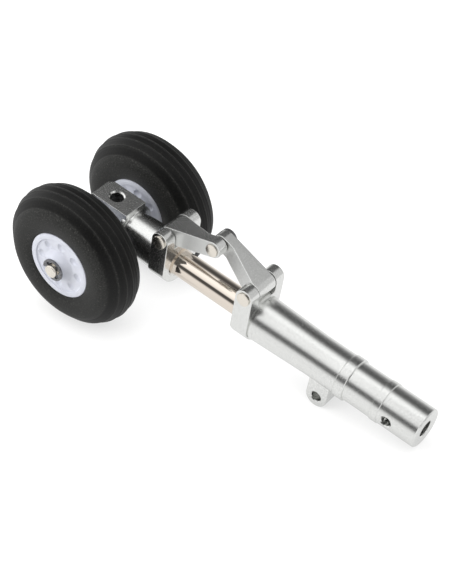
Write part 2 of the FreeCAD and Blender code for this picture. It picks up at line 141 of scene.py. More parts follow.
def light_room():
    """Grey levels from the dark far wall over the bright ceiling to the near wall, by the angle in
    degrees about the leg's line, a window at each end and a dark corner behind the camera."""
    world = bpy.data.worlds.new("room")
    bpy.context.scene.world = world
    world.use_nodes = True
    nodes = world.node_tree.nodes
    links = world.node_tree.links
    nodes.clear()
    direction = nodes.new("ShaderNodeTexCoord")
    split = nodes.new("ShaderNodeSeparateXYZ")
    links.new(direction.outputs["Generated"], split.inputs["Vector"])
    climb = nodes.new("ShaderNodeMath")
    climb.operation = "ARCTAN2"
    links.new(split.outputs["Z"], climb.inputs[0])
    links.new(split.outputs["Y"], climb.inputs[1])
    part = nodes.new("ShaderNodeMath")
    part.operation = "DIVIDE"
    part.inputs[1].default_value = math.pi
    links.new(climb.outputs[0], part.inputs[0])
    walls = nodes.new("ShaderNodeValToRGB")
    links.new(part.outputs[0], walls.inputs["Fac"])
    ramp = walls.color_ramp
    first, last = ramp.elements
    first.position, last.position = room_levels[0][0] / 180, room_levels[-1][0] / 180
    first.color = (*[room_levels[0][1]] * 3, 1)
    last.color = (*[room_levels[-1][1]] * 3, 1)
    for angle, level in room_levels[1:-1]:
        ramp.elements.new(angle / 180).color = (level, level, level, 1)
    lit = walls.outputs["Color"]
    for start, full, level in windows:
        window = nodes.new("ShaderNodeMapRange")
        window.interpolation_type = "SMOOTHSTEP"
        window.inputs["From Min"].default_value = start
        window.inputs["From Max"].default_value = full
        window.inputs["To Max"].default_value = level
        links.new(split.outputs["X"], window.inputs["Value"])
        both = nodes.new("ShaderNodeMix")
        both.data_type = "RGBA"
        both.blend_type = "LIGHTEN"
        both.inputs["Factor"].default_value = 1
        links.new(lit, both.inputs["A"])
        links.new(window.outputs["Result"], both.inputs["B"])
        lit = both.outputs["Result"]
    corner = nodes.new("ShaderNodeMath")
    corner.operation = "MULTIPLY"
    sides = (("Y", camera_corner_y), ("X", camera_corner_x))
    for part_input, (axis, (start, full)) in zip(corner.inputs, sides):
        side = nodes.new("ShaderNodeMapRange")
        side.interpolation_type = "SMOOTHSTEP"
        side.inputs["From Min"].default_value = start
        side.inputs["From Max"].default_value = full
        links.new(split.outputs[axis], side.inputs["Value"])
        links.new(side.outputs["Result"], part_input)
    shaded = nodes.new("ShaderNodeMix")
    shaded.data_type = "RGBA"
    shaded.inputs["B"].default_value = (*[camera_corner_level] * 3, 1)
    links.new(corner.outputs[0], shaded.inputs["Factor"])
    links.new(lit, shaded.inputs["A"])
    room = nodes.new("ShaderNodeBackground")
    links.new(shaded.outputs["Result"], room.inputs["Color"])
    white = nodes.new("ShaderNodeBackground")
    white.inputs["Color"].default_value = (1, 1, 1, 1)
    path = nodes.new("ShaderNodeLightPath")
    mix = nodes.new("ShaderNodeMixShader")
    links.new(path.outputs["Is Camera Ray"], mix.inputs["Fac"])
    links.new(room.outputs["Background"], mix.inputs[1])
    links.new(white.outputs["Background"], mix.inputs[2])
    out = nodes.new("ShaderNodeOutputWorld")
    links.new(mix.outputs["Shader"], out.inputs["Surface"])


def hang_softbox(name, place, width, watts):
    """Square softbox that faces the middle of the table and leaves no highlight of its own."""
    data = bpy.data.lights.new(name, "AREA")
    data.shape = "RECTANGLE"
    data.size = width
    data.size_y = width
    data.energy = watts
    lamp = bpy.data.objects.new(name, data)
    bpy.context.scene.collection.objects.link(lamp)
    lamp.location = place
    lamp.rotation_euler = Vector(place).to_track_quat("Z", "Y").to_euler()
    lamp.visible_glossy = False


bpy.context.scene.view_settings.view_transform = "Standard"
place_camera()
lay_table()
light_room()
hang_softbox("ceiling_softbox", place=(-0.1, 0.0, 0.9), width=1.5, watts=8.0)
hang_softbox("front_softbox", place=(-0.5, -0.75, 0.4), width=0.6, watts=5.0)

# Outer cylinder: turned from aluminium bar with a tapered root, two collars and the trunnion end,
# milled with a yoke and the drag lug, and bead blasted. The trunnion bore takes a pin that a side
# screw locks.

# The slide runs along the leg and the wheels turn about the axle, so the joints give the leg's own
# frame. Each piece is modelled in it in millimetres, x from the axle to the trunnion, y across the
# wheels and z to the torque links, and is then set down by leg_place.
axle_drop = 3.75
joint_facts = {joint["name"]: joint for joint in frame["record"]["behaviour"]["joints"]}
along = Vector(joint_facts["strut_slide"]["axis"]).normalized()
across = Vector((0, 1, 0))
upward = along.cross(across)
axle_middle = Vector(joint_facts["wheel_left_spin"]["pos_m"])
axle_middle.y = 0
leg_origin = axle_middle + upward * axle_drop / 1000
leg_axes = Matrix((along, across, upward)).transposed().to_4x4()
leg_place = Matrix.Translation(leg_origin) @ leg_axes @ Matrix.Scale(0.001, 4)


def new_surface(name, color, metal, rough):
    """A material with its main values set, and its node tree's parts."""
    material = bpy.data.materials.new(name)
    material.use_nodes = True
    nodes = material.node_tree.nodes
    surface = nodes["Principled BSDF"]
    surface.inputs["Base Color"].default_value = (*color, 1)
    surface.inputs["Metallic"].default_value = metal
    surface.inputs["Roughness"].default_value = rough
    return material, nodes, material.node_tree.links, surface


def grain(nodes, links, per_metre, detail, stretch=(1, 1, 1)):
    """Noise in the object's own coordinates."""
    place = nodes.new("ShaderNodeTexCoord")
    turn = nodes.new("ShaderNodeMapping")
    turn.inputs["Scale"].default_value = stretch
    noise = nodes.new("ShaderNodeTexNoise")
    noise.inputs["Scale"].default_value = per_metre
    noise.inputs["Detail"].default_value = detail
    links.new(place.outputs["Object"], turn.inputs["Vector"])
    links.new(turn.outputs["Vector"], noise.inputs["Vector"])
    return noise


def graded(nodes, links, source, stops):
    """Colour ramp on a value, from (place, colour) stops."""
    ramp = nodes.new("ShaderNodeValToRGB")
    links.new(source, ramp.inputs["Fac"])
    first, last = ramp.color_ramp.elements
    first.position, first.color = stops[0][0], (*stops[0][1], 1)
    last.position, last.color = stops[-1][0], (*stops[-1][1], 1)
    for place, color in stops[1:-1]:
        ramp.color_ramp.elements.new(place).color = (*color, 1)
    return ramp


def ranged(nodes, links, source, low, high):
    """A value from 0 to 1 turned into one from low to high."""
    spread = nodes.new("ShaderNodeMapRange")
    spread.inputs["To Min"].default_value = low
    spread.inputs["To Max"].default_value = high
    links.new(source, spread.inputs["Value"])
    return spread.outputs["Result"]


def bumped(nodes, links, source, surface, depth):
    """Bump of that depth in metres from a value."""
    bump = nodes.new("ShaderNodeBump")
    bump.inputs["Strength"].default_value = 1.0
    bump.inputs["Distance"].default_value = depth
    links.new(source, bump.inputs["Height"])
    links.new(bump.outputs["Normal"], surface.inputs["Normal"])


def satin_aluminium():
    """Bead blasted bright bar with a fine even sparkle. Faces marked as brushed are rougher."""
    bright = (0.88, 0.88, 0.865)
    material, nodes, links, surface = new_surface("satin_aluminium", bright, metal=1.0, rough=0.25)
    speckle = grain(nodes, links, per_metre=5500, detail=2)
    shades = ((0.32, (0.70, 0.705, 0.69)), (0.5, (0.83, 0.835, 0.82)), (0.70, (0.93, 0.935, 0.92)))
    shade = graded(nodes, links, speckle.outputs["Fac"], shades)
    links.new(shade.outputs["Color"], surface.inputs["Base Color"])
    brushed = nodes.new("ShaderNodeAttribute")
    brushed.attribute_name = "brushed"
    roughness = nodes.new("ShaderNodeMath")
    roughness.operation = "MULTIPLY_ADD"
    roughness.inputs[1].default_value = brushed_roughness
    links.new(brushed.outputs["Fac"], roughness.inputs[0])
    links.new(ranged(nodes, links, speckle.outputs["Fac"], low=0.18, high=0.32), roughness.inputs[2])
    links.new(roughness.outputs[0], surface.inputs["Roughness"])
    blast = grain(nodes, links, per_metre=6500, detail=2)
    bumped(nodes, links, blast.outputs["Fac"], surface, depth=0.000005)
    return material


def turned(profile, steps=144):
    """Closed mesh turned about the leg's line from (place, radius) points. It has a bore unless its
    ends meet the line."""
    form = bmesh.new()
    rings = []
    for place, radius in profile:
        if radius == 0:
            rings.append([form.verts.new((place, 0, 0))])
            continue
        ring = []
        for k in range(steps):
            turn = 2 * math.pi * k / steps
            ring.append(form.verts.new((place, radius * math.cos(turn), radius * math.sin(turn))))
        rings.append(ring)
    pairs = list(zip(rings, rings[1:]))
    if len(rings[0]) > 1:
        pairs.append((rings[-1], rings[0]))
    for first, second in pairs:
        for k in range(steps):
            nxt = (k + 1) % steps
            corners = [first[k % len(first)], first[nxt % len(first)],
                       second[nxt % len(second)], second[k % len(second)]]
            form.faces.new(list(dict.fromkeys(corners)))
    bmesh.ops.recalc_face_normals(form, faces=form.faces)
    mesh = bpy.data.meshes.new("turned")
    form.to_mesh(mesh)
    form.free()
    return mesh


def turned_across(profile, x, z, steps=144):
    """The same about a line across the leg through x and z, from (y, radius) points."""
    mesh = turned(profile, steps)
    mesh.transform(Matrix.Translation((x, 0, z)) @ Matrix.Rotation(math.radians(90), 4, "Z"))
    return mesh


def prism(outline, start, end, plane):
    """Closed mesh with a flat outline pushed from start to end, square to its plane."""
    form = bmesh.new()
    layers = []
    for depth in (start, end):
        if plane == "XZ":
            layer = [form.verts.new((a, depth, b)) for a, b in outline]
        elif plane == "YZ":
            layer = [form.verts.new((depth, a, b)) for a, b in outline]
        else:
            layer = [form.verts.new((a, b, depth)) for a, b in outline]
        form.faces.new(layer)
        layers.append(layer)
    count = len(outline)
    for k in range(count):
        nxt = (k + 1) % count
        form.faces.new([layers[0][k], layers[0][nxt], layers[1][nxt], layers[1][k]])
    bmesh.ops.recalc_face_normals(form, faces=form.faces)
    mesh = bpy.data.meshes.new("prism")
    form.to_mesh(mesh)
    form.free()
    return mesh


def arc(x, y, radius, start, end, steps):
    """Points on an arc, angles in degrees."""
    points = []
    for k in range(steps + 1):
        turn = math.radians(start + (end - start) * k / steps)
        points.append((x + radius * math.cos(turn), y + radius * math.sin(turn)))
    return points


def evaluated(work):
    """The object's mesh with its modifiers applied; the object itself goes."""
    seen = work.evaluated_get(bpy.context.evaluated_depsgraph_get())
    mesh = bpy.data.meshes.new_from_object(seen)
    bpy.data.objects.remove(work)
    return mesh


def machined(mesh, tools, how="DIFFERENCE"):
    """Mesh cut by, joined with or limited to each of the tool meshes in turn."""
    for tool in tools:
        work = bpy.data.objects.new("work", mesh)
        other = bpy.data.objects.new("tool", tool)
        for part in (work, other):
            bpy.context.scene.collection.objects.link(part)
        change = work.modifiers.new("cut", "BOOLEAN")
        change.solver = "EXACT"
        change.operation = how
        change.object = other
        mesh = evaluated(work)
        bpy.data.objects.remove(other)
    return mesh


def edges_broken(mesh, width, least_angle=50):
    """Mesh with its sharp edges broken by a small two-step chamfer."""
    work = bpy.data.objects.new("work", mesh)
    bpy.context.scene.collection.objects.link(work)
    change = work.modifiers.new("edges", "BEVEL")
    change.limit_method = "ANGLE"
    change.angle_limit = math.radians(least_angle)
    change.width = width
    change.segments = 2
    change.use_clamp_overlap = False
    return evaluated(work)


def set_down(name, mesh, body, material, nodes, smooth=32):
    """Makes the finished piece: placed, shaded, riding on its body and standing for its CAD nodes."""
    mesh.transform(leg_place)
    mesh.materials.clear()
    mesh.materials.append(material)
    mesh.polygons.foreach_set("use_smooth", [True] * len(mesh.polygons))
    mesh.set_sharp_from_angle(angle=math.radians(smooth))
    piece = bpy.data.objects.new(name, mesh)
    bpy.context.scene.collection.objects.link(piece)
    even = piece.modifiers.new("even_shading", "WEIGHTED_NORMAL")
    even.keep_sharp = True
    bpy.context.view_layer.update()
    seen = piece.evaluated_get(bpy.context.evaluated_depsgraph_get())
    finished = bpy.data.meshes.new_from_object(seen)
    piece.modifiers.clear()
    piece.data = finished
    piece.data.name = name
    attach(piece, body)
    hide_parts(*nodes)
    return piece


brushed_roughness = 0.2
aluminium = satin_aluminium()
hinge_z = 10.7
hinge_x_low = 22.1
link_length = 16.0
link_fold = math.radians(19.3)
knee_x = hinge_x_low + link_length * math.cos(link_fold)
hinge_x_high = 2 * knee_x - hinge_x_low
bracket_half_t = 2.85
bracket_half_w = 7.4
bracket_flat_z = -1.9
flank_round = 4.0
cylinder_belly_r = 7.35
ear_r = 2.85
slot_half = 3.75
slot_floor_z = 7.6
pin_r = 1.5
hole_gap = 0.03
overrun = 2.0
yoke_edge = 0.22


def pin_cutter(radius, half, x, z, steps=64):
    """Cutter for a plain hole across the leg."""
    return turned_across([(-half, 0), (-half, radius), (half, radius), (half, 0)], x, z, steps)


def bar_cutter(start, end, radius):
    """Cutter for a plain hole along the leg."""
    return turned([(start, 0), (start, radius), (end, radius), (end, 0)], steps=96)


def bracket(hinge_x, belly_r):
    """Yoke that the cylinder and the lower leg both end in: flat sides, a round belly, and two ears
    that hold the base barrel of a torque link between them."""
    reach = math.hypot(bracket_half_w, bracket_flat_z)
    touch = math.atan2(bracket_flat_z, bracket_half_w) - math.acos(belly_r / reach)
    setback = flank_round * math.tan(-touch / 2)
    touch = math.degrees(touch)
    top = hinge_z + ear_r + overrun
    half = [(bracket_half_w, top)]
    half += arc(bracket_half_w - flank_round, bracket_flat_z + setback, flank_round, 0, touch, 10)
    half += arc(0, 0, belly_r, touch, -90, 32)
    section = half + [(-y, z) for y, z in reversed(half[:-1])]
    body = prism(section, hinge_x - bracket_half_t, hinge_x + bracket_half_t, "YZ")
    low = -belly_r - overrun
    side = [(hinge_x - bracket_half_t, low), (hinge_x + bracket_half_t, low)]
    side += arc(hinge_x, hinge_z, ear_r, 0, 180, 48)
    wide = bracket_half_w + overrun
    body = machined(body, [prism(side, -wide, wide, "XZ")], "INTERSECT")
    gap = [(-slot_half, slot_floor_z), (slot_half, slot_floor_z), (slot_half, top), (-slot_half, top)]
    body = machined(body, [prism(gap, hinge_x - 2 * ear_r, hinge_x + 2 * ear_r, "YZ")])
    body = machined(body, [pin_cutter(pin_r + hole_gap, wide, hinge_x, hinge_z)])
    return edges_broken(body, yoke_edge)


tube_root_r = 6.85
root_groove = 0.22
tube_overlap = 1.5
tube_r = 6.2
tube_taper_end_x = 74.0
collar_x = 84.3
collar_t = 3.1
collar_r = 6.5
journal_r = 6.0
ring_x = 96.4
ring_t = 2.4
ring_r = 6.25
end_x = 110.9
end_chamfer = 0.35
chamber_r = 5.02
chamber_end_x = 95.0
trunnion_bore_r = 2.5
trunnion_bore_end_x = 99.0
side_hole_x = 101.7
side_hole_r = 1.5
side_hole_chamfer = 0.25
side_hole_sink = 0.45
lug_x = 79.6
lug_z = -9.1
lug_r = 3.36
lug_half_w = 5.0
lug_edge = 0.15
lug_hole_r = 1.55
lug_room = 0.3
hole_chamfer = 0.22


def through_cutter(radius, x, z, half):
    """Cutter across the leg for a hole with countersunk mouths at plus and minus half."""
    mouth = radius + hole_chamfer
    return turned_across([
        (-half - overrun, 0),
        (-half - overrun, mouth + overrun),
        (-half + hole_chamfer, radius),
        (half - hole_chamfer, radius),
        (half + overrun, mouth + overrun),
        (half + overrun, 0),
    ], x, z, steps=72)


def outer_cylinder():
    """The turned tube joined to its yoke and the drag lug."""
    bracket_end = hinge_x_high + bracket_half_t
    body = turned([
        (bracket_end - tube_overlap, chamber_r),
        (bracket_end - tube_overlap, tube_root_r),
        (bracket_end - 0.05, tube_root_r),
        (bracket_end - 0.05, tube_root_r - root_groove),
        (bracket_end + root_groove, tube_root_r - root_groove),
        (bracket_end + root_groove, tube_root_r - 0.05),
        (bracket_end + root_groove + 0.05, tube_root_r),
        (tube_taper_end_x, tube_r),
        (collar_x - 0.35, tube_r),
        (collar_x - 0.12, tube_r + 0.05),
        (collar_x, collar_r - 0.12),
        (collar_x + 0.14, collar_r),
        (collar_x + collar_t - 0.2, collar_r),
        (collar_x + collar_t, collar_r - 0.2),
        (collar_x + collar_t, journal_r),
        (ring_x, journal_r),
        (ring_x, ring_r - 0.14),
        (ring_x + 0.14, ring_r),
        (ring_x + ring_t - 0.16, ring_r),
        (ring_x + ring_t, ring_r - 0.16),
        (ring_x + ring_t, journal_r),
        (end_x - end_chamfer, journal_r),
        (end_x, journal_r - end_chamfer),
        (end_x, trunnion_bore_r + hole_chamfer),
        (end_x - hole_chamfer, trunnion_bore_r),
        (trunnion_bore_end_x, trunnion_bore_r),
        (trunnion_bore_end_x, 0.01),
        (chamber_end_x, 0.01),
        (chamber_end_x, chamber_r),
    ], steps=192)
    mouth_x = hinge_x_high - bracket_half_t
    bore = bar_cutter(mouth_x - overrun, bracket_end + overrun, chamber_r)
    yoke = machined(bracket(hinge_x_high, cylinder_belly_r), [bore])
    lug_side = [(lug_x + lug_r, -1.0), (lug_x - lug_r, -1.0)]
    lug_side += arc(lug_x, lug_z, lug_r, 180, 360, 48)
    lug = edges_broken(prism(lug_side, -lug_half_w, lug_half_w, "XZ"), lug_edge)
    room = bar_cutter(lug_x - 2 * lug_r, lug_x + 2 * lug_r, chamber_r + lug_room)
    lug = machined(lug, [room, through_cutter(lug_hole_r, lug_x, lug_z, lug_half_w)])
    body = machined(body, [yoke, lug], "UNION")
    side_mouth = side_hole_r + side_hole_chamfer
    side_hole = turned_across([
        (-journal_r - overrun, 0),
        (-journal_r - overrun, side_mouth + overrun),
        (-journal_r + side_hole_sink, side_hole_r),
        (0, side_hole_r),
        (0, 0),
    ], side_hole_x, 0, steps=72)
    return machined(body, [side_hole])


set_down("cylinder_body", outer_cylinder(), "cylinder", aluminium, ["outer_cylinder"])


# Lower leg: one milled and turned piece of the same aluminium, with the axle block, a flange, the
# neck that holds the rod and the same yoke. A grub screw under the countersunk hole in the block
# locks the axle.
block_x_min = -5.95
block_x_max = 7.25
block_half_w = 4.25
block_top = 8.2
block_bottom = -8.3
block_corner = 1.3
block_edge = 0.16
cap_t = 1.0
cap_overlap = 0.4
shoulder_r = 7.75
shoulder_t = 1.2
shoulder_chamfer = 0.15
leg_belly_r = 6.9
neck_r = 6.3
neck_overlap = 1.0
piston_r = 4.0
piston_socket_x = 12.0
socket_chamfer = 0.9
socket_relief = 0.8
socket_gap = 0.12
mouth_overrun = 1.0
snug_gap = 0.015
axle_r = 2.0
screw_hole_r = 2.0
screw_hole_chamfer = 0.4


def lower_leg():
    cap_x = block_x_max - cap_t
    plan = [
        (block_x_min, -block_half_w),
        (cap_x + cap_overlap, -block_half_w),
        (cap_x + cap_overlap, block_half_w),
        (block_x_min + block_corner, block_half_w),
        (block_x_min, block_half_w - block_corner),
    ]
    block = edges_broken(prism(plan, block_bottom, block_top, "XY"), block_edge, least_angle=40)
    cap = [
        (cap_x, -block_half_w),
        (block_x_max, -block_half_w),
        (block_x_max, block_half_w),
        (cap_x, block_half_w),
    ]
    cap = edges_broken(prism(cap, block_bottom, block_top, "XY"), block_edge, least_angle=40)
    shoulder_x = block_x_max - shoulder_t
    bracket_start = hinge_x_low - bracket_half_t
    bracket_end = hinge_x_low + bracket_half_t
    neck = turned([
        (shoulder_x, 0),
        (shoulder_x, shoulder_r - shoulder_chamfer),
        (shoulder_x + shoulder_chamfer, shoulder_r),
        (block_x_max - shoulder_chamfer, shoulder_r),
        (block_x_max, shoulder_r - shoulder_chamfer),
        (block_x_max, neck_r + 0.6),
        (block_x_max + 0.2, neck_r + 0.2),
        (block_x_max + 0.6, neck_r),
        (bracket_start + neck_overlap, neck_r),
        (bracket_start + neck_overlap, 0),
    ], steps=160)
    body = machined(block, [cap, neck, bracket(hinge_x_low, leg_belly_r)], "UNION")
    relief_x = bracket_end - socket_chamfer - socket_relief
    socket = turned([
        (piston_socket_x, 0),
        (piston_socket_x, piston_r + snug_gap),
        (relief_x, piston_r + snug_gap),
        (relief_x, piston_r + socket_gap),
        (bracket_end - socket_chamfer + socket_gap, piston_r + socket_gap),
        (bracket_end + mouth_overrun, piston_r + socket_chamfer + mouth_overrun),
        (bracket_end + mouth_overrun, 0),
    ], steps=128)
    axle_hole = pin_cutter(axle_r + snug_gap, block_half_w + overrun, 0, -axle_drop, steps=72)
    screw_hole = turned([
        (-axle_drop, 0),
        (-axle_drop, screw_hole_r + snug_gap),
        (block_top - screw_hole_chamfer, screw_hole_r + snug_gap),
        (block_top + overrun, screw_hole_r + screw_hole_chamfer + overrun),
        (block_top + overrun, 0),
    ], steps=96)
    screw_hole.transform(Matrix.Rotation(math.radians(-90), 4, "Y"))
    return machined(body, [socket, axle_hole, screw_hole])


set_down("lower_leg_body", lower_leg(), "leg", aluminium, ["lower_leg"])


# Torque links: two equal aluminium plates that keep the wheels straight while the leg telescopes.
# Each is milled with a wide base barrel and a web that tapers to one offset lug at the knee. The
# lower one's base hole is opened a little, because the linkage is a closed loop.
link_base_r = 2.8
link_knee_r = 2.65
link_half_w = 3.65
link_taper_start = 1.6
link_taper_end = 12.4
link_lug_gap = 0.1
link_edge = 0.36
open_pivot_gap = 0.42
brush_falloff = 4


def torque_link(base_x, turned_round, base_gap):
    """Link with its base pin at base_x, pointing to the cylinder or, turned round, to the wheels.
    Its flat sides are marked as brushed."""
    lean = math.degrees(math.asin((link_base_r - link_knee_r) / link_length))
    side = arc(link_length, 0, link_knee_r, -90 + lean, 90 - lean, 40)
    side += arc(0, 0, link_base_r, 90 - lean, 270 + lean, 48)
    body = prism(side, -link_half_w, link_half_w, "XZ")
    near = -link_base_r - overrun
    far = link_length + link_knee_r + overrun
    plan = [
        (near, link_half_w),
        (link_taper_start, link_half_w),
        (link_taper_end, -link_lug_gap),
        (far, -link_lug_gap),
        (far, -link_half_w - overrun),
        (near, -link_half_w - overrun),
    ]
    body = machined(body, [prism(plan, near, -near, "XY")], "INTERSECT")
    body = edges_broken(body, link_edge, least_angle=30)
    half = link_half_w + overrun
    base_hole = pin_cutter(pin_r + base_gap, half, 0, 0)
    knee_hole = pin_cutter(pin_r + hole_gap, half, link_length, 0)
    body = machined(body, [base_hole, knee_hole])
    body.transform(Matrix.Rotation(-link_fold, 4, "Y"))
    if turned_round:
        body.transform(Matrix.Rotation(math.pi, 4, "Z"))
    body.transform(Matrix.Translation((base_x, 0, hinge_z)))
    brushed = body.attributes.new("brushed", "FLOAT", "FACE")
    brushed.data.foreach_set("value", [abs(face.normal.y) ** brush_falloff for face in body.polygons])
    return body


lower_link = torque_link(hinge_x_low, False, open_pivot_gap)
upper_link = torque_link(hinge_x_high, True, hole_gap)
set_down("lower_torque_link", lower_link, "lower_torque_link", aluminium, ["lower_link"])
set_down("upper_torque_link", upper_link, "upper_torque_link", aluminium, ["upper_link"])


# Piston rod: ground and hard chromed steel, mirror bright where it slides in the bush. Its guide
# head and hollow end stay inside the cylinder.
def plain_metal(name, color, rough, low, high, per_metre, detail=2, stretch=(1, 1, 1)):
    """Metal whose roughness wanders from low to high over its grain."""
    material, nodes, links, surface = new_surface(name, color, 1.0, rough)
    wander = grain(nodes, links, per_metre, detail, stretch)
    links.new(ranged(nodes, links, wander.outputs["Fac"], low, high), surface.inputs["Roughness"])
    return material


def hard_chrome():
    # The warm brown tint is a painted reflection of the shaded table in the chrome.
    warm = (0.82, 0.74, 0.655)
    return plain_metal("hard_chrome", warm, 0.06, low=0.04, high=0.10, per_metre=900, stretch=(1, 0.15, 1))


chrome = hard_chrome()
piston_head_r = 4.6
piston_head_t = 4.0
piston_top_x = 88.95
piston_foot_chamfer = 0.5
piston_head_chamfer = 0.4
socket_end_gap = 0.05
spring_bore_r = 3.0
spring_seat_x = 62.5


def piston_rod():
    foot_x = piston_socket_x + socket_end_gap
    return turned([
        (foot_x, 0),
        (foot_x, piston_r - piston_foot_chamfer),
        (foot_x + piston_foot_chamfer, piston_r),
        (piston_top_x - piston_head_t, piston_r),
        (piston_top_x - piston_head_t, piston_head_r),
        (piston_top_x - piston_head_chamfer, piston_head_r),
        (piston_top_x, piston_head_r - piston_head_chamfer),
        (piston_top_x, spring_bore_r),
        (spring_seat_x, spring_bore_r),
        (spring_seat_x, 0),
    ], steps=128)


set_down("piston_rod_body", piston_rod(), "leg", chrome, ["piston_rod"])


# Hinge pins and axle: turned from nickel plated steel. The two base pins are pressed into the far
# ears, the knee pin is kept by a clip and the axle by one at each end.
def bright_nickel():
    warm = (0.86, 0.81, 0.73)
    material, nodes, links, surface = new_surface("bright_nickel", warm, metal=1.0, rough=0.24)
    wear = grain(nodes, links, per_metre=4500, detail=2)
    links.new(ranged(nodes, links, wear.outputs["Fac"], low=0.18, high=0.32), surface.inputs["Roughness"])
    bumped(nodes, links, wear.outputs["Fac"], surface, depth=0.000002)
    return material


nickel = bright_nickel()
knee_z = hinge_z + link_length * math.sin(link_fold)
pin_head_r = 1.95
pin_head_t = 0.45
base_pin_head_r = 2.05
base_pin_head_t = 0.5
base_pin_sunk = 0.1
base_pin_chamfer = 0.2
pin_tail = 1.0
pin_tip_chamfer = 0.12
pin_groove_r = 1.15
pin_clip_r = 2.6
pin_clip_t = 0.6
face_gap = 0.05
wheel_y = 16.45
hub_boss_half = 9.0
axle_half = 27.1
axle_groove_r = 1.6
axle_clip_r = 3.5
axle_clip_t = 0.6


def pin_head(face, radius, thick):
    """Outline of a flat head with a rounded rim, whose underside is at face on the near side."""
    top = -face - thick
    return [
        (top, 0),
        (top, radius - 0.14),
        (top + 0.05, radius - 0.04),
        (top + 0.14, radius),
        (-face, radius),
        (-face, pin_r),
    ]


def pressed_pin(x, z):
    """Base hinge pin: a wide flat head on the near ear, its plain end pressed into the far ear."""
    face = bracket_half_w + face_gap
    end = bracket_half_w - base_pin_sunk
    return turned_across(pin_head(face, base_pin_head_r, base_pin_head_t) + [
        (end - base_pin_chamfer, pin_r),
        (end, pin_r - base_pin_chamfer),
        (end, 0),
    ], x, z, steps=72)


def clipped_pin(x, z, half_w):
    """Knee pin: a flat head on the near lug and a clip groove beyond the far one."""
    face = half_w + face_gap
    groove_end = face + pin_clip_t + face_gap
    tip = half_w + pin_tail
    return turned_across(pin_head(face, pin_head_r, pin_head_t) + [
        (face - face_gap, pin_r),
        (face - face_gap, pin_groove_r),
        (groove_end, pin_groove_r),
        (groove_end, pin_r),
        (tip - pin_tip_chamfer, pin_r),
        (tip, pin_r - pin_tip_chamfer),
        (tip, 0),
    ], x, z, steps=72)


def axle_rod():
    groove = wheel_y + hub_boss_half
    groove_end = groove + axle_clip_t + 2 * face_gap
    half = [
        (groove, axle_r),
        (groove, axle_groove_r),
        (groove_end, axle_groove_r),
        (groove_end, axle_r),
        (axle_half - 0.3, axle_r),
        (axle_half - 0.08, axle_r - 0.12),
        (axle_half, axle_r - 0.35),
        (axle_half, 0),
    ]
    return turned_across([(-y, r) for y, r in reversed(half)] + half, 0, -axle_drop, steps=96)


pins = (
    ("lower_pin", pressed_pin(hinge_x_low, hinge_z), "leg", "lower_hinge_pin"),
    ("upper_pin", pressed_pin(hinge_x_high, hinge_z), "cylinder", "upper_hinge_pin"),
    ("knee_pin_body", clipped_pin(knee_x, knee_z, link_half_w), "upper_torque_link", "knee_pin"),
    ("axle_rod", axle_rod(), "leg", "axle"),
)
for name, mesh, body, node in pins:
    set_down(name, mesh, body, nickel, [node])


# Retaining clips: open rings stamped from dark spring steel, whose three prongs grip a groove. One
# sits at each end of the axle, outside the hub, and one at the far end of the knee pin.
def dark_spring_steel():
    dark = (0.20, 0.20, 0.205)
    material, nodes, links, surface = new_surface("dark_spring_steel", dark, metal=1.0, rough=0.38)
    stain = grain(nodes, links, per_metre=1800, detail=3)
    shades = ((0.3, (0.12, 0.12, 0.125)), (0.7, (0.30, 0.30, 0.31)))
    shade = graded(nodes, links, stain.outputs["Fac"], shades)
    links.new(shade.outputs["Color"], surface.inputs["Base Color"])
    return material


clip_steel = dark_spring_steel()
clip_edge = 0.06
clip_relief = 0.6
clip_mouth_half = 38
clip_prongs = ((58, 14), (180, 17), (302, 14))
clip_steps = 120
clip_mouth = 225
knee_clip_mouth = -90
axle_clip_y = wheel_y + hub_boss_half + face_gap
knee_clip_y = link_half_w + face_gap


def retaining_clip(groove_r, outer_r, thick, y_near, x, z, mouth):
    """Clip flat across the leg's y, with its mouth at that angle, in degrees from +x towards +z. Its
    prongs are given by the angles of their middles from the mouth and their half widths."""
    relief_r = (1 - clip_relief) * groove_r + clip_relief * outer_r
    open_angle = 360 - 2 * clip_mouth_half
    outline = arc(0, 0, outer_r, clip_mouth_half, 360 - clip_mouth_half, 72)
    for k in range(clip_steps + 1):
        turn = 360 - clip_mouth_half - open_angle * k / clip_steps
        in_prong = any(abs(turn - middle) < half for middle, half in clip_prongs)
        at_mouth = turn < clip_prongs[0][0] or turn > clip_prongs[-1][0]
        radius = groove_r if in_prong or at_mouth else relief_r
        outline.append((radius * math.cos(math.radians(turn)), radius * math.sin(math.radians(turn))))
    mesh = edges_broken(prism(outline, 0, thick, "XZ"), clip_edge, least_angle=40)
    mesh.transform(Matrix.Rotation(math.radians(-mouth), 4, "Y"))
    mesh.transform(Matrix.Translation((x, y_near, z)))
    return mesh


axle_clips = (
    ("axle_clip_near", "axle_clip_left", -axle_clip_y - axle_clip_t),
    ("axle_clip_far", "axle_clip_right", axle_clip_y),
)
for name, node, y_near in axle_clips:
    clip = retaining_clip(axle_groove_r, axle_clip_r, axle_clip_t, y_near, 0, -axle_drop, clip_mouth)
    set_down(name, clip, "leg", clip_steel, [node])
clip = retaining_clip(pin_groove_r, pin_clip_r, pin_clip_t, knee_clip_y, knee_x, knee_z, knee_clip_mouth)
set_down("knee_pin_clip", clip, "upper_torque_link", clip_steel, ["knee_clip"])


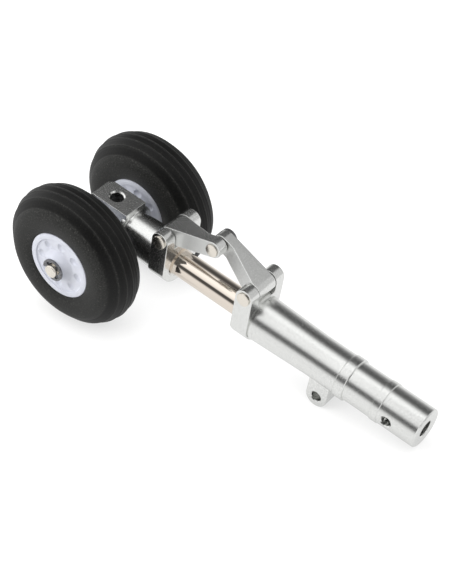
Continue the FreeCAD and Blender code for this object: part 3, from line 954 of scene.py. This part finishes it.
# Wheel hubs: moulded white nylon with a raised rim lip, a shallow dish with a ring of eight round
# dimples and a centre boss that runs on the axle.
def white_nylon():
    cool_white = (0.62, 0.635, 0.70)
    material, nodes, links, surface = new_surface("white_nylon", cool_white, metal=0.0, rough=0.42)
    surface.inputs["Subsurface Weight"].default_value = 0.12
    surface.inputs["Subsurface Radius"].default_value = (0.0008, 0.0008, 0.0009)
    cloud = grain(nodes, links, per_metre=260, detail=3)
    shades = ((0.3, (0.58, 0.595, 0.665)), (0.7, (0.65, 0.665, 0.73)))
    shade = graded(nodes, links, cloud.outputs["Fac"], shades)
    links.new(shade.outputs["Color"], surface.inputs["Base Color"])
    skin = grain(nodes, links, per_metre=1500, detail=2)
    bumped(nodes, links, skin.outputs["Fac"], surface, depth=0.000008)
    return material


nylon = white_nylon()
rim_r = 10.45
rim_half = 7.05
rim_lip_w = 1.75
dish_depth = 0.45
bead_seat_r = 9.6
hub_boss_r = 3.4
hub_cone_r = 5.3
hub_bore_gap = 0.06
hub_side_gap = 0.1
dimple_r = 1.35
dimple_depth = 0.62
dimple_ball_r = (dimple_r ** 2 + dimple_depth ** 2) / (2 * dimple_depth)
dimples = {
    "Count": 8,
    "Ring radius": 6.75,
    "Ball radius": dimple_ball_r,
    "Ball height": rim_half - dish_depth + dimple_ball_r - dimple_depth,
}


def grown(mesh, tree, settings):
    """The mesh as a Geometry Nodes tree leaves it, with the tree's inputs set by name."""
    work = bpy.data.objects.new("work", mesh)
    bpy.context.scene.collection.objects.link(work)
    change = work.modifiers.new("grown", "NODES")
    change.node_group = tree
    for item in tree.interface.items_tree:
        if item.in_out == "INPUT" and item.name in settings:
            change[item.identifier] = settings[item.name]
    return evaluated(work)


def new_tree(name, inputs):
    """An empty Geometry Nodes tree that takes and gives geometry, with named number inputs."""
    tree = bpy.data.node_groups.new(name, "GeometryNodeTree")
    tree.interface.new_socket("Geometry", in_out="INPUT", socket_type="NodeSocketGeometry")
    for label, value in inputs.items():
        kind = "NodeSocketInt" if isinstance(value, int) else "NodeSocketFloat"
        tree.interface.new_socket(label, in_out="INPUT", socket_type=kind)
    tree.interface.new_socket("Geometry", in_out="OUTPUT", socket_type="NodeSocketGeometry")
    return tree, tree.nodes, tree.links, tree.nodes.new("NodeGroupInput").outputs


def finish_tree(nodes, links, geometry, material):
    """Ends a tree with its material and its output."""
    finish = nodes.new("GeometryNodeSetMaterial")
    finish.inputs["Material"].default_value = material
    links.new(geometry, finish.inputs["Geometry"])
    links.new(finish.outputs["Geometry"], nodes.new("NodeGroupOutput").inputs[0])


def dimple_ring():
    """Geometry Nodes: balls at the points of a circle, over each face, are cut out of the hub."""
    tree, nodes, links, given = new_tree("dimple_ring", dimples)
    circle = nodes.new("GeometryNodeMeshCircle")
    links.new(given["Count"], circle.inputs["Vertices"])
    links.new(given["Ring radius"], circle.inputs["Radius"])
    ball = nodes.new("GeometryNodeMeshUVSphere")
    ball.inputs["Segments"].default_value = 48
    ball.inputs["Rings"].default_value = 30
    links.new(given["Ball radius"], ball.inputs["Radius"])
    placed = nodes.new("GeometryNodeInstanceOnPoints")
    links.new(circle.outputs["Mesh"], placed.inputs["Points"])
    links.new(ball.outputs["Mesh"], placed.inputs["Instance"])
    real = nodes.new("GeometryNodeRealizeInstances")
    links.new(placed.outputs["Instances"], real.inputs["Geometry"])
    cut = nodes.new("GeometryNodeMeshBoolean")
    cut.operation = "DIFFERENCE"
    links.new(given["Geometry"], cut.inputs["Mesh 1"])
    for face in (1.0, -1.0):
        height = nodes.new("ShaderNodeMath")
        height.operation = "MULTIPLY"
        height.inputs[1].default_value = face
        links.new(given["Ball height"], height.inputs[0])
        above = nodes.new("ShaderNodeCombineXYZ")
        links.new(height.outputs[0], above.inputs["Y"])
        stood = nodes.new("GeometryNodeTransform")
        stood.inputs["Rotation"].default_value = (math.pi / 2, 0, 0)
        links.new(real.outputs["Geometry"], stood.inputs["Geometry"])
        links.new(above.outputs[0], stood.inputs["Translation"])
        links.new(stood.outputs["Geometry"], cut.inputs["Mesh 2"])
    finish_tree(nodes, links, cut.outputs["Mesh"], nylon)
    return tree


dimple_tree = dimple_ring()


def hub(side):
    """One wheel's hub: the boss, dish and rim of its outer face, the same rim behind, and a boss
    that reaches the axle block. The left wheel's is its mirror image."""
    dish = rim_half - dish_depth
    lip_r = rim_r - rim_lip_w
    bore = axle_r + hub_bore_gap
    boss = [
        (hub_boss_half, bore + 0.1),
        (hub_boss_half, hub_boss_r - 0.35),
        (hub_boss_half - 0.1, hub_boss_r - 0.1),
        (hub_boss_half - 0.35, hub_boss_r),
        (hub_boss_half - 1.1, hub_boss_r + 0.35),
        (dish + 0.55, hub_cone_r - 0.75),
        (dish + 0.15, hub_cone_r - 0.35),
        (dish, hub_cone_r),
    ]
    rim = [
        (dish, lip_r - 0.3),
        (dish + 0.06, lip_r - 0.12),
        (rim_half - 0.12, lip_r),
        (rim_half - 0.03, lip_r + 0.05),
        (rim_half, lip_r + 0.15),
        (rim_half, rim_r - 0.25),
        (rim_half - 0.08, rim_r - 0.08),
        (rim_half - 0.25, rim_r),
        (rim_half - 1.3, rim_r),
        (rim_half - 2.1, bead_seat_r),
    ]
    back_end = wheel_y - block_half_w - hub_side_gap
    back = [(-y, r) for y, r in reversed(rim)] + [
        (-dish - 0.35, hub_cone_r - 0.6),
        (-dish - 1.2, hub_boss_r),
        (-back_end + 0.3, hub_boss_r),
        (-back_end, hub_boss_r - 0.3),
        (-back_end, bore),
    ]
    mesh = turned_across([(hub_boss_half - 0.1, bore)] + boss + rim + back, 0, 0, steps=192)
    mesh = grown(mesh, dimple_tree, dimples)
    if side < 0:
        mesh.transform(Matrix.Scale(-1, 4, (0, 1, 0)))
        mesh.flip_normals()
    mesh.transform(Matrix.Translation((0, side * wheel_y, -axle_drop)))
    return mesh


# Tyres: moulded black rubber with a rounded crown, fine ribs round it, smooth bulging sidewalls
# and beads that sit in the rim. Dust speckles them; the sidewalls get painted light and the rib crests
# painted highlights.
clean_shades = (
    (0.42, (0.002, 0.002, 0.002)),
    (0.62, (0.005, 0.005, 0.0045)),
    (0.8, (0.018, 0.0175, 0.016)),
)
# Lighter shades for the sidewalls and rib crests: dust speckle with painted light and painted highlights.
dust_and_light_shades = (
    (0.36, (0.012, 0.0122, 0.0115)),
    (0.6, (0.026, 0.026, 0.0245)),
    (0.78, (0.085, 0.084, 0.078)),
)
# Shares of that lighter shade: painted light on the sidewalls, painted highlights on the rib crests.
dust_and_painted_light_on_wall = 0.9
dust_and_painted_highlight_on_crest = 1.0


def black_rubber():
    black = (0.008, 0.008, 0.0075)
    material, nodes, links, surface = new_surface("black_rubber", black, metal=0.0, rough=0.5)
    surface.inputs["Specular IOR Level"].default_value = 0.24
    dust = grain(nodes, links, per_metre=2400, detail=5)
    clean = graded(nodes, links, dust.outputs["Fac"], clean_shades)
    dust_and_light = graded(nodes, links, dust.outputs["Fac"], dust_and_light_shades)
    chosen = clean.outputs["Color"]
    # The sidewalls take painted light and the rib crests take painted highlights, mixed over the dust
    # speckle.
    for name, share in (("wall", dust_and_painted_light_on_wall), ("crest", dust_and_painted_highlight_on_crest)):
        mark = nodes.new("ShaderNodeAttribute")
        mark.attribute_name = name
        part = nodes.new("ShaderNodeMath")
        part.operation = "MULTIPLY"
        part.inputs[1].default_value = share
        links.new(mark.outputs["Fac"], part.inputs[0])
        mix = nodes.new("ShaderNodeMix")
        mix.data_type = "RGBA"
        links.new(part.outputs[0], mix.inputs["Factor"])
        links.new(chosen, mix.inputs["A"])
        links.new(dust_and_light.outputs["Color"], mix.inputs["B"])
        chosen = mix.outputs["Result"]
    links.new(chosen, surface.inputs["Base Color"])
    links.new(ranged(nodes, links, dust.outputs["Fac"], low=0.42, high=0.62), surface.inputs["Roughness"])
    skin = grain(nodes, links, per_metre=1900, detail=4)
    bumped(nodes, links, skin.outputs["Fac"], surface, depth=0.00003)
    return material


rubber = black_rubber()
crown_points = (
    (0, 22.0), (1, 21.93), (2, 21.72), (3, 21.38), (4, 20.90), (5, 20.08), (6, 18.95), (6.8, 17.75),
)
ribs = {"Pitch": 2.2, "Depth": 0.17, "Half width": 6.6, "Least radius": 16.0, "Crest sharpness": 5.0}
crown_step = 0.1


def crown_radius(offset):
    """Radius of the crown at that distance from the tyre's middle plane."""
    for (y0, r0), (y1, r1) in zip(crown_points, crown_points[1:]):
        if offset <= y1:
            return r0 + (r1 - r0) * (offset - y0) / (y1 - y0)
    return crown_points[-1][1]


def ribbed_crown():
    """Geometry Nodes: hollows of one depth between crests at every pitch, pressed towards the axle.
    The crests and the sidewalls are marked for the rubber's lighter shade: painted highlights on the
    crests, painted light on the sidewalls."""
    tree, nodes, links, given = new_tree("ribbed_crown", ribs)

    def value(operation, first, second=None, third=None):
        step = nodes.new("ShaderNodeMath")
        step.operation = operation
        for slot, source in zip(step.inputs, (first, second, third)):
            if isinstance(source, (int, float)):
                slot.default_value = source
            elif source is not None:
                links.new(source, slot)
        return step.outputs[0]

    def marked(geometry, name, strength):
        mark = nodes.new("GeometryNodeStoreNamedAttribute")
        mark.inputs["Name"].default_value = name
        links.new(geometry, mark.inputs["Geometry"])
        links.new(strength, mark.inputs["Value"])
        return mark.outputs["Geometry"]

    split = nodes.new("ShaderNodeSeparateXYZ")
    links.new(nodes.new("GeometryNodeInputPosition").outputs[0], split.inputs[0])
    offset = value("ABSOLUTE", split.outputs["Y"])
    from_crest = value("PINGPONG", offset, value("MULTIPLY", given["Pitch"], 0.5))
    rise = value("SUBTRACT", 1.0, value("DIVIDE", value("MULTIPLY", from_crest, 2.0), given["Pitch"]))
    crest = value("POWER", rise, given["Crest sharpness"])
    hollow = value("SUBTRACT", 1.0, crest)
    on_crown = value("LESS_THAN", offset, given["Half width"])
    x_squared = value("MULTIPLY", split.outputs["X"], split.outputs["X"])
    z_squared = value("MULTIPLY", split.outputs["Z"], split.outputs["Z"])
    least_squared = value("MULTIPLY", given["Least radius"], given["Least radius"])
    outside = value("GREATER_THAN", value("ADD", x_squared, z_squared), least_squared)
    treaded = value("MULTIPLY", on_crown, outside)
    sink = value("MULTIPLY", value("MULTIPLY", hollow, treaded), given["Depth"])
    radial = nodes.new("ShaderNodeCombineXYZ")
    links.new(split.outputs["X"], radial.inputs["X"])
    links.new(split.outputs["Z"], radial.inputs["Z"])
    outward = nodes.new("ShaderNodeVectorMath")
    outward.operation = "NORMALIZE"
    links.new(radial.outputs[0], outward.inputs[0])
    push = nodes.new("ShaderNodeVectorMath")
    push.operation = "SCALE"
    links.new(outward.outputs[0], push.inputs[0])
    links.new(value("MULTIPLY", sink, -1.0), push.inputs["Scale"])
    wall = value("LESS_THAN", treaded, 0.5)
    edge = value("MULTIPLY", value("SUBTRACT", 1.0, wall), crest)
    pressed = nodes.new("GeometryNodeSetPosition")
    links.new(marked(marked(given["Geometry"], "crest", edge), "wall", wall), pressed.inputs["Geometry"])
    links.new(push.outputs[0], pressed.inputs["Offset"])
    finish_tree(nodes, links, pressed.outputs["Geometry"], rubber)
    return tree


def smooth_tyre():
    """The tyre before its ribs: a sidewall and bead on each side of the crown."""
    wall = [
        (6.8, 17.75),
        (6.95, 17.55),
        (7.2, 17.1),
        (7.45, 16.4),
        (7.65, 15.6),
        (7.75, 14.7),
        (7.74, 13.8),
        (7.64, 12.7),
        (7.45, 11.7),
        (7.22, 11.0),
        (7.02, 10.66),
        (6.85, 10.52),
        (6.6, 10.5),
        (5.7, 10.5),
        (4.9, 9.65),
    ]
    steps = round(ribs["Half width"] / crown_step)
    crown = [(k * crown_step, crown_radius(abs(k * crown_step))) for k in range(-steps, steps + 1)]
    return turned_across([(-y, r) for y, r in reversed(wall)] + crown + wall, 0, 0, steps=240)


tyre_mesh = grown(smooth_tyre(), ribbed_crown(), ribs)
for side, body, where in ((-1, "wheel_left", "left"), (1, "wheel_right", "right")):
    set_down("hub_" + where + "_body", hub(side), body, nylon, ["hub_" + where])
    tyre = tyre_mesh.copy()
    tyre.transform(Matrix.Translation((0, side * wheel_y, -axle_drop)))
    set_down("tyre_" + where + "_body", tyre, body, rubber, ["tyre_" + where], smooth=15)


# Spring: a coil of round wire inside the cylinder, from the bore of the rod to the end wall of the
# chamber. In the real leg it shortens as the leg slides in; here it keeps one length and rides on the
# cylinder.
def drawn_steel():
    grey = (0.42, 0.42, 0.43)
    return plain_metal("drawn_spring_steel", grey, 0.3, low=0.22, high=0.4, per_metre=1500)


steel = drawn_steel()
spring_room = chamber_end_x - spring_seat_x
spring_wire_r = 0.25
spring_end_gap = face_gap + spring_wire_r
coil = {
    "Turns": 6.0,
    "Mean radius": 2.3,
    "Wire radius": spring_wire_r,
    "Length": spring_room - 2 * spring_end_gap,
}


def spring_coil():
    """Geometry Nodes: a spiral swept by a small circle, standing on its first end along z."""
    tree, nodes, links, given = new_tree("spring_coil", coil)
    spiral = nodes.new("GeometryNodeCurveSpiral")
    spiral.inputs["Resolution"].default_value = 40
    links.new(given["Turns"], spiral.inputs["Rotations"])
    links.new(given["Mean radius"], spiral.inputs["Start Radius"])
    links.new(given["Mean radius"], spiral.inputs["End Radius"])
    links.new(given["Length"], spiral.inputs["Height"])
    ring = nodes.new("GeometryNodeCurvePrimitiveCircle")
    ring.inputs["Resolution"].default_value = 14
    links.new(given["Wire radius"], ring.inputs["Radius"])
    sweep = nodes.new("GeometryNodeCurveToMesh")
    sweep.inputs["Fill Caps"].default_value = True
    links.new(spiral.outputs["Curve"], sweep.inputs["Curve"])
    links.new(ring.outputs["Curve"], sweep.inputs["Profile Curve"])
    finish_tree(nodes, links, sweep.outputs["Mesh"], steel)
    return tree


spring_mesh = grown(bpy.data.meshes.new("spring_start"), spring_coil(), coil)
laid_along = Matrix.Rotation(math.pi / 2, 4, "Y")
spring_mesh.transform(Matrix.Translation((spring_seat_x + spring_end_gap, 0, 0)) @ laid_along)
spring = set_down("spring_body", spring_mesh, "cylinder", steel, ["spring"])
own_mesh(spring)


# Inner pieces: bronze gland bush, stop ring and the blackened grub screw that locks the axle. Their
# CAD solids stay and only get their finishes.
def bronze():
    yellow = (0.62, 0.44, 0.20)
    lines = {"per_metre": 1200, "detail": 3, "stretch": (6, 1, 1)}
    return plain_metal("turned_bronze", yellow, 0.35, low=0.28, high=0.45, **lines)


def black_oxide():
    black = (0.05, 0.05, 0.052)
    return plain_metal("black_oxide_steel", black, 0.4, low=0.32, high=0.5, per_metre=1500)


inner_finishes = {
    "gland_bush": bronze(),
    "piston_stop_ring": steel,
    "axle_lock_screw": black_oxide(),
}
for node, material in inner_finishes.items():
    for slot in frame["nodes"][node].material_slots:
        slot.material = material
